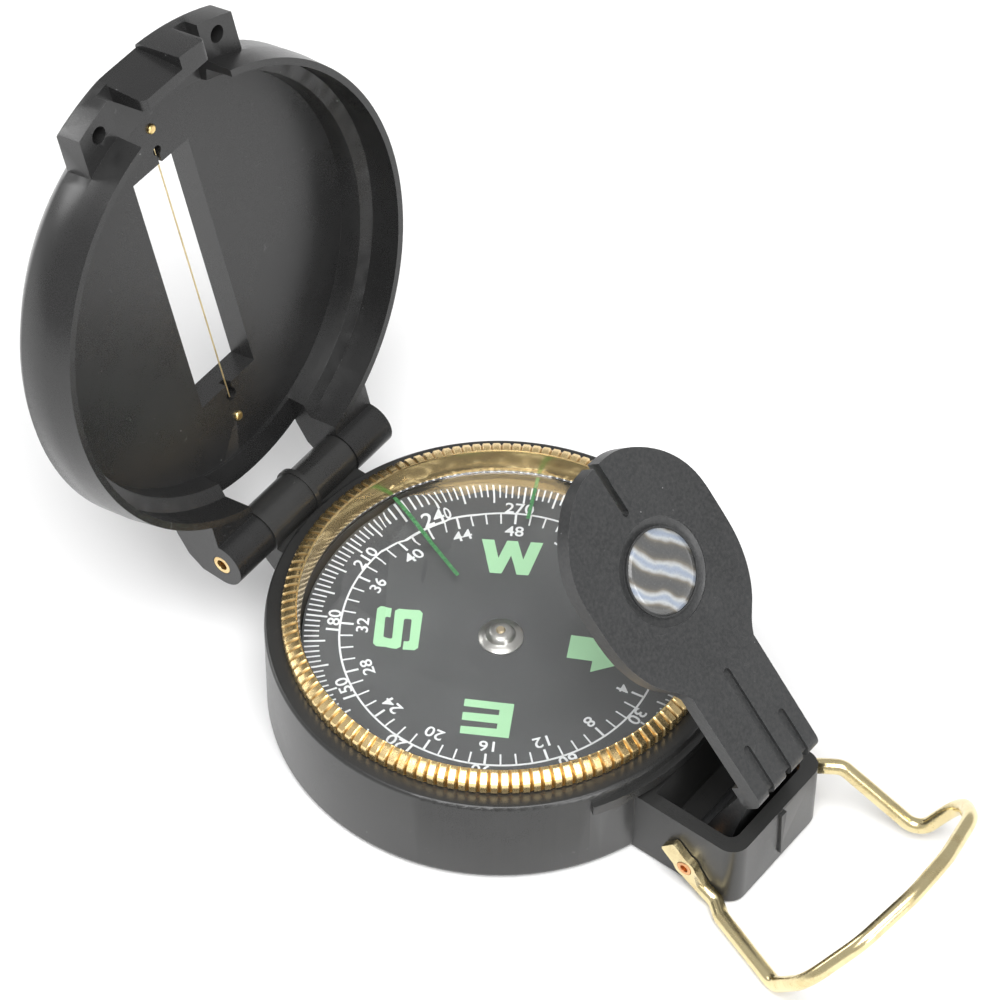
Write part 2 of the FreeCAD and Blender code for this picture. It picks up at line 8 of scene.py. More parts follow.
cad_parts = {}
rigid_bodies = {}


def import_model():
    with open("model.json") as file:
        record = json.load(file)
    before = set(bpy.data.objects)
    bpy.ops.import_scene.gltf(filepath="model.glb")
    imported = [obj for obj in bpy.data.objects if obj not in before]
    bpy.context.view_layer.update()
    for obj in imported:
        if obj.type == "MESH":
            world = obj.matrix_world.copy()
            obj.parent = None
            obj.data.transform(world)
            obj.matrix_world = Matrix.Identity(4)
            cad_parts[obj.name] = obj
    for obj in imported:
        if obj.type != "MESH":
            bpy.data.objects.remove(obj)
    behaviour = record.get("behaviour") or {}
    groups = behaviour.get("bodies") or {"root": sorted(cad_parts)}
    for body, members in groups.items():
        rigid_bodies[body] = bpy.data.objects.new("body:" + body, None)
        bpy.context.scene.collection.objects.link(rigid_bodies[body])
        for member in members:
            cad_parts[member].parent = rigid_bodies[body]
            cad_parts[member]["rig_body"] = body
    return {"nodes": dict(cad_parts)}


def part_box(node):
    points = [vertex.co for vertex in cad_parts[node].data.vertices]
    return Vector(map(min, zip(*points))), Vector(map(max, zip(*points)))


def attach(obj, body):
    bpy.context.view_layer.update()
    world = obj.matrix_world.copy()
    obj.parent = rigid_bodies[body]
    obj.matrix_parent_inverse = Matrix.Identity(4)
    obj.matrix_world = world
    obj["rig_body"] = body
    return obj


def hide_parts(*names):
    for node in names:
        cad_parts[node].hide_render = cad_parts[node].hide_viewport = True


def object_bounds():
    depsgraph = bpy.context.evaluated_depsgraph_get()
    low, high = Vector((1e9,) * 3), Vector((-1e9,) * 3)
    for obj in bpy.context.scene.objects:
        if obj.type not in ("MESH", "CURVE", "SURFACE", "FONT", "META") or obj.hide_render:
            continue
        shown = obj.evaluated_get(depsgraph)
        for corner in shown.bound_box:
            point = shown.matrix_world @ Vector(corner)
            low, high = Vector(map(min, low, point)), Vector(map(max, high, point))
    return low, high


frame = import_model()
cad_box = [list(corner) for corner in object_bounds()]

MM = 0.001

# ---- where things are, in millimetres ------------------------------------------
DIAL_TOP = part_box("dial_card")[1].z / MM
BEZEL_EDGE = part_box("bezel_ring")[1].x / MM
BEZEL_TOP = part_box("bezel_ring")[1].z / MM
BEZEL_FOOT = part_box("bezel_ring")[0].z / MM
GLASS_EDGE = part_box("crystal")[1].x / MM
GLASS_OVER_LINE = 1.05  # crystal's flat upper face above the index lines under it
GLASS_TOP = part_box("index_line_long")[1].z / MM + GLASS_OVER_LINE
NORTH = 30.0            # the dial's north mark, degrees from +X
TEETH = 130             # teeth of the knurled bezel

# ---- camera ---------------------------------------------------------------------
VIEW_AZIMUTH, VIEW_ELEVATION, VIEW_ROLL = 37.0, 50.04, 0.87   # degrees
VIEW_TARGET = Vector((-13.78, 17.84, 8.0)) * MM
VIEW_DISTANCE = 0.5668  # metres
LENS_LENGTH = 169.66    # millimetres, as the sensor
SENSOR = 36.0
CLIP_NEAR, CLIP_FAR = 0.01, 20


def place_camera():
    """The main camera, turned round its target and rolled a little."""
    a, e, r = (math.radians(d) for d in (VIEW_AZIMUTH, VIEW_ELEVATION, VIEW_ROLL))
    back = Vector((math.sin(a) * math.cos(e), -math.cos(a) * math.cos(e), math.sin(e)))
    level = Vector((math.cos(a), math.sin(a), 0))
    rise = back.cross(level)
    right = level * math.cos(r) + rise * math.sin(r)
    up = rise * math.cos(r) - level * math.sin(r)
    data = bpy.data.cameras.new("camera")
    data.lens = LENS_LENGTH
    data.sensor_width = SENSOR
    data.clip_start, data.clip_end = CLIP_NEAR, CLIP_FAR
    camera = bpy.data.objects.new("camera", data)
    turn = Matrix((right, up, back)).transposed().to_4x4()
    camera.matrix_world = Matrix.Translation(VIEW_TARGET + back * VIEW_DISTANCE) @ turn
    bpy.context.scene.collection.objects.link(camera)
    bpy.context.scene.camera = camera


# ---- shader arithmetic ----------------------------------------------------------
MIX_FACTOR, MIX_A, MIX_B, MIX_RESULT = 0, 6, 7, 2   # the Mix node's colour sockets


class Value:
    """A shader output that takes part in Python arithmetic."""

    def __init__(self, graph, socket):
        self.graph = graph
        self.socket = socket

    def _math(self, operation, a, b):
        return self.graph.node("ShaderNodeMath", {"operation": operation}, {0: a, 1: b})

    def __add__(self, other):
        return self._math("ADD", self, other)

    def __radd__(self, other):
        return self._math("ADD", other, self)

    def __sub__(self, other):
        return self._math("SUBTRACT", self, other)

    def __rsub__(self, other):
        return self._math("SUBTRACT", other, self)

    def __mul__(self, other):
        return self._math("MULTIPLY", self, other)

    def __rmul__(self, other):
        return self._math("MULTIPLY", other, self)

    def __truediv__(self, other):
        return self._math("DIVIDE", self, other)

    def __gt__(self, other):
        return self._math("GREATER_THAN", self, other)


class Finish:
    """The node tree of one finish, around its Principled shader."""

    def __init__(self, name, **constants):
        self.material = bpy.data.materials.new(name)
        self.material.use_nodes = True
        self.tree = self.material.node_tree
        self.shader = self.tree.nodes["Principled BSDF"]
        self.output = self.tree.nodes["Material Output"]
        self.place = self.node("ShaderNodeTexCoord", out="Object")
        for socket, value in constants.items():
            self.shader.inputs[socket.replace("_", " ")].default_value = value

    def node(self, kind, settings=None, inputs=None, out=0):
        """Any node: its settings first, then the values or links of its sockets."""
        made = self.tree.nodes.new(kind)
        for key, value in (settings or {}).items():
            if key == "stops":
                self._stops(made.color_ramp, value)
            else:
                setattr(made, key, value)
        for key, value in (inputs or {}).items():
            self.feed(made.inputs[key], value)
        return Value(self, made.outputs[out])

    def _stops(self, ramp, stops):
        while len(ramp.elements) < len(stops):
            ramp.elements.new(0.5)
        for element, (position, colour) in zip(ramp.elements, stops):
            element.position = position
            element.color = (*colour, 1)

    def feed(self, socket, value):
        if isinstance(value, Value):
            self.tree.links.new(value.socket, socket)
        elif isinstance(value, tuple) and len(value) == 3 and socket.type == "RGBA":
            socket.default_value = (*value, 1)
        else:
            socket.default_value = value

    def set(self, **values):
        """Feeds sockets of the Principled shader; an underscore stands for a space."""
        for name, value in values.items():
            self.feed(self.shader.inputs[name.replace("_", " ")], value)

    def noise(self, size, detail=2.0, rough=0.5, place=None):
        """Noise whose patches are about size millimetres wide."""
        inputs = {"Vector": place or self.place, "Scale": 1 / (size * MM)}
        inputs.update({"Detail": detail, "Roughness": rough})
        return self.node("ShaderNodeTexNoise", {}, inputs)

    def cells(self, size, out="Distance"):
        """Scattered cells about size millimetres apart."""
        inputs = {"Vector": self.place, "Scale": 1 / (size * MM)}
        return self.node("ShaderNodeTexVoronoi", {}, inputs, out)

    def stretch(self, scale, turn=(0, 0, 0)):
        """The place on the piece, scaled and turned, for patterns longer one way."""
        inputs = {"Vector": self.place, "Scale": scale, "Rotation": turn}
        return self.node("ShaderNodeMapping", {}, inputs)

    def mix(self, factor, a, b):
        """Colour a where factor is 0, b where it is 1."""
        inputs = {MIX_FACTOR: factor, MIX_A: a, MIX_B: b}
        return self.node("ShaderNodeMix", {"data_type": "RGBA"}, inputs, MIX_RESULT)

    def ramp(self, value, low, high):
        """0 below low, 1 above high, a straight rise between."""
        inputs = {"Value": value, "From Min": low, "From Max": high}
        return self.node("ShaderNodeMapRange", {}, inputs)

    def split(self):
        """X, Y and Z of the place on the piece."""
        made = self.tree.nodes.new("ShaderNodeSeparateXYZ")
        self.tree.links.new(self.place.socket, made.inputs[0])
        return [Value(self, s) for s in made.outputs]

    def radius(self, x, y):
        """Distance from the dial's axis."""
        return self.node("ShaderNodeMath", {"operation": "SQRT"}, {0: x * x + y * y})

    def bump(self, height, depth):
        """Relief of depth millimetres where height goes from 0 to 1."""
        inputs = {"Strength": 1.0, "Distance": depth * MM, "Height": height}
        self.feed(self.shader.inputs["Normal"], self.node("ShaderNodeBump", {}, inputs))


def grey(level):
    return (level, level, level)


# ---- finishes -------------------------------------------------------------------
DUST_APART = 2.0        # millimetres between possible specks of dust
DUST_GREY = 0.42
SCUFF_GREY = 0.2
FLOW_CONTRAST = 0.16    # how far flow marks darken or lighten the plastic
GRAIN_GAIN = 1.8        # how much paler the plastic is on top of its grain


def moulded_plastic(name, shade, rough, grain, relief, tint=(1.0, 1.0, 1.0), dust=1.0,
                    scuffs=0.2, mottle=0.3):
    """Black moulded plastic: fine grain, faint flow marks, short scuffs, dust specks."""
    f = Finish(name, IOR=1.5)
    flow = f.noise(9.0, 3.0)
    fine = f.noise(grain, 3.0, 0.6)
    hair = f.noise(1.1, 1.0, 0.5, f.stretch((1, 0.12, 0.4), (0.4, 0.3, 0.9)))
    thin = (hair - 0.5) * (hair - 0.5)
    scratch = f.ramp(thin, 0.000008, 0.0) * f.ramp(f.noise(1.7, 2.0), 0.56, 0.64)
    pick = f.node("ShaderNodeSeparateColor", {}, {0: f.cells(DUST_APART, "Color")})
    speck = f.ramp(f.cells(DUST_APART), 0.05, 0.02) * (pick > 0.7) * dust
    dark = tuple(shade * (1 - FLOW_CONTRAST) * c for c in tint)
    light = tuple(shade * (1 + FLOW_CONTRAST) * c for c in tint)
    body = f.mix(f.ramp(flow, 0.3, 0.7), dark, light)
    body = f.mix(f.ramp(fine, 0.35, 0.75) * mottle, body, grey(shade * GRAIN_GAIN))
    body = f.mix(scratch * scuffs, body, grey(SCUFF_GREY))
    f.set(Base_Color=f.mix(speck * 0.6, body, grey(DUST_GREY)))
    f.set(Roughness=rough + (flow - 0.5) * 0.16 + (fine - 0.5) * 0.14 + speck * 0.3)
    f.bump(fine + speck * 0.8, relief)
    return f.material


def turned_metal(name, colour, shadow, rough, line=0.12, relief=0.004):
    """Metal with fine turning lines round its axis and a little tarnish."""
    f = Finish(name, Metallic=1.0)
    x, y, z = f.split()
    radius = f.radius(x, y)
    ring = f.node("ShaderNodeCombineXYZ", {}, {0: radius, 1: z, 2: 0.0})
    lines = f.noise(line, 3.0, 0.6, ring)
    cloud = f.noise(4.0, 4.0, 0.6)
    tarnish = f.ramp(cloud, 0.42, 0.75) * 0.5 + f.ramp(lines, 0.5, 0.8) * 0.3
    f.set(Base_Color=f.mix(tarnish, colour, shadow))
    f.set(Roughness=rough + (lines - 0.5) * 0.12 + tarnish * 0.14)
    f.bump(lines, relief)
    return f.material


KNURL_IN = 1.7          # width of the bezel's knurled shoulder, from its edge inwards


def knurled_brass(name, colour, shadow):
    """Brass ring: painted shade in the gaps between the teeth, a polished cone inside with painted
    reflection bands, black below it.
    """
    f = Finish(name, Metallic=1.0)
    x, y, z = f.split()
    radius = f.radius(x, y)
    angle = f.node("ShaderNodeMath", {"operation": "ARCTAN2"}, {0: y, 1: x})
    wave = f.node("ShaderNodeMath", {"operation": "COSINE"}, {0: angle * float(TEETH)})
    shoulder = BEZEL_EDGE - KNURL_IN
    outside = f.ramp(radius, (shoulder - 0.2) * MM, shoulder * MM)
    inside = 1 - outside
    band = f.node("ShaderNodeCombineXYZ", {}, {0: radius * 0.4, 1: z, 2: angle * 0.0006})
    bands = f.noise(0.5, 2.0, 0.5, band)
    grit = f.noise(0.3, 3.0, 0.6)
    cloud = f.noise(3.5, 4.0, 0.6)
    # painted shade: the colour darkens along each groove between the teeth; the cloud term adds
    # faint real tarnish
    groove_shade_and_tarnish = f.ramp(wave, 0.5, 1.0) * outside * 0.8 + f.ramp(cloud, 0.5, 0.8) * 0.3
    # painted reflection: broad concentric bands darken the polished cone's colour to stand for the
    # reflections it shows
    streak = f.ramp(bands, 0.45, 0.7) * inside * 0.35
    gold = f.mix(groove_shade_and_tarnish + streak + f.ramp(grit, 0.5, 0.8) * 0.15, colour, shadow)
    black = f.ramp(z, (GLASS_TOP + 0.06) * MM, (GLASS_TOP - 0.02) * MM)
    f.set(Base_Color=f.mix(black, gold, grey(0.012)), Metallic=1 - black)
    worn = 0.26 + groove_shade_and_tarnish * 0.2 + (grit - 0.5) * 0.14
    f.set(Roughness=worn * outside + (0.16 + (bands - 0.5) * 0.2) * inside + black * 0.3)
    f.bump(grit * outside, 0.010)
    return f.material


def drawn_metal(name, colour, shadow, rough):
    """Drawn or stamped metal: lengthwise streaks, small dents, handling marks."""
    f = Finish(name, Metallic=1.0)
    cloud = f.noise(2.5, 4.0, 0.6)
    streak = f.noise(0.5, 3.0, 0.6, f.stretch((0.25, 1, 1)))
    dents = f.noise(0.9, 2.0)
    tarnish = f.ramp(cloud, 0.45, 0.8) * 0.6 + f.ramp(streak, 0.55, 0.8) * 0.3
    f.set(Base_Color=f.mix(tarnish, colour, shadow))
    f.set(Roughness=rough + (streak - 0.5) * 0.14 + tarnish * 0.18)
    f.bump(streak * 0.4 + dents, 0.006)
    return f.material


def printed_ink(name, colour, shadow):
    """Screen-printed ink with a slightly uneven film."""
    f = Finish(name, IOR=1.45)
    film = f.noise(0.12, 3.0, 0.6)
    patch = f.noise(1.6, 3.0)
    wear = f.ramp(film, 0.56, 0.8) * 0.5 + f.ramp(patch, 0.55, 0.8) * 0.2
    f.set(Base_Color=f.mix(wear, colour, shadow), Roughness=0.55 + (film - 0.5) * 0.3)
    f.bump(film, 0.004)
    return f.material


def let_lamps_through(f, surface):
    """Makes a clear piece cast no shadow on what lies under it."""
    shadow_ray = f.node("ShaderNodeLightPath", out="Is Shadow Ray")
    clear = f.node("ShaderNodeBsdfTransparent", {}, {0: (0.96, 0.97, 0.97)})
    shown = f.node("ShaderNodeMixShader", {}, {0: shadow_ray, 1: surface, 2: clear})
    f.feed(f.output.inputs["Surface"], shown)


def clear_plastic(name, rough, ior):
    """Clear moulded plastic that lets lamps through, with a few fine marks."""
    f = Finish(name, IOR=ior, Transmission_Weight=1.0)
    mark = f.noise(1.4, 3.0, 0.5, f.stretch((1, 0.05, 1), (0, 0, 0.7)))
    rub = f.ramp(mark, 0.62, 0.8)
    f.set(Base_Color=f.mix(rub * 0.1, grey(1.0), grey(0.85)), Roughness=rough + rub * 0.03)
    f.bump(f.noise(6.0, 2.0), 0.006)
    let_lamps_through(f, Value(f, f.shader.outputs[0]))
    return f.material


WAVE_LENGTH = 0.565     # millimetres of lens in one radian of a painted reflection stripe
WAVE_WARP = 2.2         # how far the painted reflection stripes wander, in millimetres


def coated_lens(name):
    """Lens glass whose colour is painted with soft, pale, faintly coloured wavy reflection stripes
    across it.
    """
    f = Finish(name, IOR=1.52)
    _, y, z = f.split()
    warp = f.noise(4.0, 2.0)
    phase = (y * 0.8 + z * 0.8 + warp * (WAVE_WARP * MM)) / (WAVE_LENGTH * MM)
    wave = f.node("ShaderNodeMath", {"operation": "SINE"}, {0: phase})
    stops = [(0.0, (0.085, 0.086, 0.086)), (0.3, (0.10, 0.097, 0.09)),
             (0.5, (0.17, 0.155, 0.13)), (0.68, (0.33, 0.33, 0.32)),
             (0.85, (0.41, 0.43, 0.44)), (1.0, (0.27, 0.31, 0.38))]
    # painted reflection: the ramp's pale and bluish stops are reflections drawn into the lens
    # colour
    painted_reflection_stripes = f.node("ShaderNodeValToRGB", {"stops": stops}, {"Fac": wave * 0.5 + 0.5})
    mottle = f.ramp(f.noise(0.25, 3.0), 0.45, 0.8)
    f.set(Base_Color=f.mix(mottle * 0.3, painted_reflection_stripes, grey(0.15)), Roughness=0.12 + mottle * 0.2)
    return f.material


def index_tape(name):
    """Translucent green marking line with a grainy edge."""
    f = Finish(name, IOR=1.45)
    film = f.noise(0.3, 3.0, 0.7)
    deep_green, pale_green = (0.06, 0.25, 0.09), (0.14, 0.42, 0.17)
    f.set(Base_Color=f.mix(f.ramp(film, 0.3, 0.7), deep_green, pale_green))
    f.set(Roughness=0.5 + (film - 0.5) * 0.2, Alpha=0.6 + f.ramp(film, 0.35, 0.65) * 0.4)
    return f.material


BRASS = (0.87, 0.66, 0.34)
BRASS_SHADOW = (0.50, 0.31, 0.11)
finishes = {
    "case_plastic": moulded_plastic("case black plastic", 0.026, 0.30, 0.10, 0.006,
                                    (1.0, 1.0, 0.97)),
    "lid_plastic": moulded_plastic("lid black plastic", 0.017, 0.28, 0.10, 0.005),
    "arm_plastic": moulded_plastic("arm black plastic", 0.026, 0.38, 0.42, 0.030,
                                   (0.96, 1.0, 1.03), mottle=0.9),
    "dial_plastic": moulded_plastic("dial card", 0.050, 0.60, 0.10, 0.001,
                                    (0.97, 1.0, 1.01), dust=0.4, scuffs=0.1),
    "capsule_plastic": moulded_plastic("capsule", 0.03, 0.45, 0.2, 0.006),
    "bezel_brass": knurled_brass("bezel brass", (0.90, 0.68, 0.34), BRASS_SHADOW),
    "hinge_brass": drawn_metal("hinge brass", BRASS, BRASS_SHADOW, 0.28),
    "pin_brass": drawn_metal("pin brass", (0.86, 0.66, 0.30), BRASS_SHADOW, 0.25),
    "wire_brass": drawn_metal("sight wire", (0.85, 0.70, 0.40), (0.45, 0.35, 0.16), 0.3),
    "pivot_brass": turned_metal("pivot brass", (0.80, 0.66, 0.44), (0.45, 0.34, 0.2), 0.3),
    "axle_copper": drawn_metal("axle copper", (0.78, 0.42, 0.20), (0.40, 0.18, 0.08), 0.3),
    "loop_brass": drawn_metal("loop brass", (0.83, 0.71, 0.41), (0.55, 0.42, 0.19), 0.22),
    "spring_steel": drawn_metal("spring steel", (0.55, 0.55, 0.55), (0.3, 0.3, 0.3), 0.35),
    "magnet_steel": drawn_metal("magnet steel", (0.45, 0.45, 0.46), (0.25, 0.24, 0.24), 0.4),
    "nickel": turned_metal("nickel", (0.56, 0.55, 0.52), (0.36, 0.35, 0.32), 0.30, 0.1, 0.002),
    "clear_crystal": clear_plastic("crystal", 0.0, 1.49),
    "lens_glass": coated_lens("lens with painted reflections"),
    "index_green": index_tape("index tape"),
}
# painted highlight: a paler, glossier plastic on the rounded edges stands for the light they catch
painted_edge_highlight = moulded_plastic("painted edge highlights", 0.15, 0.30, 0.12, 0.006)
white_ink = printed_ink("white ink", (0.64, 0.65, 0.65), (0.45, 0.46, 0.46))
green_ink = printed_ink("green ink", (0.30, 0.53, 0.31), (0.26, 0.48, 0.27))
edge_ink = printed_ink("green ink edge", (0.13, 0.34, 0.15), (0.10, 0.28, 0.12))


# ---- making pieces --------------------------------------------------------------
SHARP = 35              # degrees past which an edge is drawn sharp
BEVEL_FROM = 38         # degrees past which an edge is rounded
FLAT_WITHIN = 0.4       # degrees between faces that are merged into one


def add_piece(name, mesh, finish, body, slot, nodes=(), sharp=SHARP):
    """Puts a mesh on its body, in place of the CAD nodes it stands for."""
    mesh.materials.clear()
    mesh.materials.append(finish)
    mesh.shade_smooth()
    mesh.set_sharp_from_angle(angle=math.radians(sharp))
    piece = bpy.data.objects.new(name, mesh)
    bpy.context.scene.collection.objects.link(piece)
    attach(piece, body)
    if nodes:
        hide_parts(*nodes)
    return piece


def from_bmesh(name, bm, *rest, **options):
    """A piece from a bmesh drawn in millimetres."""
    bmesh.ops.scale(bm, vec=(MM, MM, MM), verts=bm.verts)
    mesh = bpy.data.meshes.new(name)
    bm.to_mesh(mesh)
    bm.free()
    return add_piece(name, mesh, *rest, **options)


def detailed_copy(node, name, slot, round_edges=0.0, highlight_finish=None, slim=0.0):
    """A merged copy of a CAD node with its hard edges rounded a little, and given a paler finish
    there as a painted highlight.
    """
    source = frame["nodes"][node]
    bm = bmesh.new()
    bm.from_mesh(source.data)
    bmesh.ops.remove_doubles(bm, verts=bm.verts, dist=1e-7)
    flat = math.radians(FLAT_WITHIN)
    bmesh.ops.dissolve_limit(bm, angle_limit=flat, verts=bm.verts, edges=bm.edges)
    bmesh.ops.scale(bm, vec=(1 - slim, 1 - slim, 1), verts=bm.verts)
    mesh = bpy.data.meshes.new(name)
    bm.to_mesh(mesh)
    bm.free()
    piece = add_piece(name, mesh, finishes[slot], source["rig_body"], slot, (node,))
    if round_edges:
        bevel = piece.modifiers.new("rounded edges", "BEVEL")
        bevel.width = round_edges * MM
        bevel.segments = 2
        bevel.limit_method = "ANGLE"
        bevel.angle_limit = math.radians(BEVEL_FROM)
        bevel.harden_normals = True
        # the bevel faces get the paler finish, a painted highlight
        if highlight_finish:
            mesh.materials.append(highlight_finish)
            bevel.material = 1
        bevel.miter_outer = "MITER_ARC"
    return piece


def join(bm, other):
    """Adds one bmesh to another and frees it."""
    spare = bpy.data.meshes.new("spare")
    other.to_mesh(spare)
    other.free()
    bm.from_mesh(spare)
    bpy.data.meshes.remove(spare)


def thicken(bm, z0, height):
    """Turns flat faces into a closed film of that height."""
    for vert in bm.verts:
        vert.co.z = z0
    made = bmesh.ops.extrude_face_region(bm, geom=bm.faces[:])
    top = [g for g in made["geom"] if isinstance(g, bmesh.types.BMVert)]
    bmesh.ops.translate(bm, vec=(0, 0, height), verts=top)
    bmesh.ops.recalc_face_normals(bm, faces=bm.faces)


def lathe(profile, steps):
    """A closed (radius, height) profile spun once round the dial's axis."""
    bm = bmesh.new()
    verts = [bm.verts.new((r, 0, z)) for r, z in profile]
    ring = [bm.edges.new(pair) for pair in zip(verts, verts[1:] + verts[:1])]
    bmesh.ops.spin(bm, geom=verts + ring, cent=(0, 0, 0), axis=(0, 0, 1),
                   angle=math.tau, steps=steps, use_merge=True)
    bmesh.ops.remove_doubles(bm, verts=bm.verts, dist=1e-4)
    bmesh.ops.recalc_face_normals(bm, faces=bm.faces)
    return bm


# ---- the printed dial -----------------------------------------------------------
INK = 0.02              # thickness of the ink films
INK_Z = DIAL_TOP - 0.005    # the films are sunk a hair into the card
SCALE_R = 18.81         # circle line of the inner scale
TICK_OUT = 22.94        # outer ends of the degree marks
DEGREE_TEXT_R = 19.62
MIL_TEXT_R = 16.12
DEGREE_TEXT_TURN = -1.1     # the printed figures sit a little off their marks
MIL_TURN = -2.1         # and the inner scale a little off the outer one
MIL_TICKS = 64
DEGREE_TEXT_HIGH, MIL_TEXT_HIGH = 1.55, 1.5
FIGURE_WIDE = 1.12      # how much wider the figures are than the plain font
FIGURE_BOLD = 0.012     # and how much bolder, in units of the font
BORDER = 0.09           # width of the letters' green edge
CIRCLE_STEPS = 240


def heading_turn(heading, radius):
    """Carries (right, outward) drawing coordinates to that heading of the dial."""
    a = math.radians(NORTH - heading)
    move = Matrix.Translation((radius * math.cos(a), radius * math.sin(a), 0))
    return move @ Matrix.Rotation(a - math.pi / 2, 4, "Z")


def flat_polygon(points):
    """One flat face through the points."""
    bm = bmesh.new()
    bm.faces.new([bm.verts.new((x, y, 0)) for x, y in points])
    return bm


def mark(bm, heading, r0, r1, width):
    """One radial mark between two radii."""
    half = width / 2
    bar = flat_polygon([(-half, r0), (half, r0), (half, r1), (-half, r1)])
    bmesh.ops.transform(bar, matrix=heading_turn(heading, 0), verts=bar.verts)
    join(bm, bar)


def number(bm, text, height, heading, radius):
    """One upright number with its top outward."""
    curve = bpy.data.curves.new("number", "FONT")
    curve.body = text
    curve.align_x = "CENTER"
    curve.resolution_u = 3
    curve.offset = FIGURE_BOLD
    holder = bpy.data.objects.new("number", curve)
    bpy.context.scene.collection.objects.link(holder)
    bpy.context.view_layer.update()
    graph = bpy.context.evaluated_depsgraph_get()
    mesh = bpy.data.meshes.new_from_object(holder.evaluated_get(graph))
    bpy.data.objects.remove(holder)
    bpy.data.curves.remove(curve)
    flat = bmesh.new()
    flat.from_mesh(mesh)
    bpy.data.meshes.remove(mesh)
    bmesh.ops.remove_doubles(flat, verts=flat.verts, dist=1e-5)
    low = Vector(min(v.co[i] for v in flat.verts) for i in range(3))
    high = Vector(max(v.co[i] for v in flat.verts) for i in range(3))
    size = height / (high.y - low.y)
    centre = (low + high) / 2
    bmesh.ops.translate(flat, vec=-centre, verts=flat.verts)
    bmesh.ops.scale(flat, vec=(size * FIGURE_WIDE, size, size), verts=flat.verts)
    bmesh.ops.transform(flat, matrix=heading_turn(heading, radius), verts=flat.verts)
    join(bm, flat)


def ring_line(bm, radius, width):
    """A flat circle line round the dial's axis."""
    flat = bmesh.new()
    verts = [flat.verts.new((r, 0, 0)) for r in (radius - width / 2, radius + width / 2)]
    edge = flat.edges.new(verts)
    bmesh.ops.spin(flat, geom=verts + [edge], cent=(0, 0, 0), axis=(0, 0, 1),
                   angle=math.tau, steps=CIRCLE_STEPS, use_merge=True)
    bmesh.ops.remove_doubles(flat, verts=flat.verts, dist=1e-4)
    join(bm, flat)


def make_degree_scale():
    """Outer scale: a mark each 2 degrees, a longer one each 10, a figure each 30."""
    bm = bmesh.new()
    for heading in range(0, 360, 2):
        length, width = (2.5, 0.24) if heading % 10 == 0 else (1.75, 0.2)
        mark(bm, heading, TICK_OUT - length, TICK_OUT, width)
    for heading in range(0, 360, 30):
        turned = heading + DEGREE_TEXT_TURN
        number(bm, str(heading), DEGREE_TEXT_HIGH, turned, DEGREE_TEXT_R)
    thicken(bm, INK_Z, INK)
    from_bmesh("dial_degree_scale", bm, white_ink, "dial", "dial_plastic")


def make_mil_scale():
    """Inner scale: a circle line, 64 marks inside it, a figure at every fourth."""
    bm = bmesh.new()
    ring_line(bm, SCALE_R, 0.24)
    for tick in range(MIL_TICKS):
        labelled = tick % 4 == 0
        heading = tick * 360 / MIL_TICKS + MIL_TURN
        mark(bm, heading, SCALE_R - 1.6, SCALE_R, 0.28 if labelled else 0.2)
        if labelled and tick:
            number(bm, str(tick), MIL_TEXT_HIGH, heading, MIL_TEXT_R)
    thicken(bm, INK_Z + 0.001, INK)
    from_bmesh("dial_mil_scale", bm, white_ink, "dial", "dial_plastic")


LETTERS = {             # heading, then the outline's (right, outward) points
    "east": (90.0, [
        (-2.9, 9.6), (2.85, 9.6), (2.85, 10.65), (-1.35, 10.68), (-1.35, 11.45),
        (2.82, 11.55), (2.8, 12.68), (-1.37, 12.68), (-1.37, 13.45), (2.78, 13.6),
        (2.75, 14.65), (-2.92, 14.6)]),
    "south": (177.6, [
        (-2.5, 9.45), (2.75, 9.45), (3.17, 9.85), (3.17, 12.15), (2.8, 12.55),
        (-1.35, 12.45), (-1.5, 12.6), (-1.5, 13.3), (-1.35, 13.45), (1.55, 13.5),
        (1.7, 13.35), (1.7, 12.95), (3.1, 12.95), (3.1, 14.2), (2.7, 14.6),
        (-2.5, 14.6), (-2.9, 14.2), (-2.9, 11.85), (-2.5, 11.4), (1.6, 11.45),
        (1.75, 11.3), (1.75, 10.75), (1.6, 10.6), (-1.5, 10.55), (-1.65, 10.7),
        (-1.65, 11.15), (-2.9, 11.15), (-2.9, 9.85)]),
    "north": (2.0, [
        (-1.7, 8.05), (1.7, 8.05), (1.7, 11.1), (3.35, 11.1), (0, 17.7),
        (-3.35, 11.1), (-1.7, 11.1)]),
    "west": (267.6, [
        (-2.3, 9.6), (-0.9, 9.6), (0.0, 12.4), (0.9, 9.6), (2.3, 9.6), (3.7, 14.6),
        (2.2, 14.6), (1.5, 11.9), (0.65, 14.6), (-0.65, 14.6), (-1.5, 11.9),
        (-2.2, 14.6), (-3.7, 14.6)]),
}


def make_letters():
    """Luminous block letters, each on a slightly wider dark green ground."""
    faces = bmesh.new()
    grounds = bmesh.new()
    for heading, points in LETTERS.values():
        face = flat_polygon(points)
        bmesh.ops.transform(face, matrix=heading_turn(heading, 0), verts=face.verts)
        ground = face.copy()
        border = bmesh.ops.inset_region(face, faces=face.faces[:], thickness=BORDER,
                                        use_even_offset=True)
        bmesh.ops.delete(face, geom=border["faces"], context="FACES")
        join(faces, face)
        join(grounds, ground)
    for bm, z, name, ink in ((grounds, INK_Z, "dial_letter_grounds", edge_ink),
                             (faces, INK_Z + 0.012, "dial_letters", green_ink)):
        thicken(bm, z, INK)
        from_bmesh(name, bm, ink, "dial", "dial_plastic")


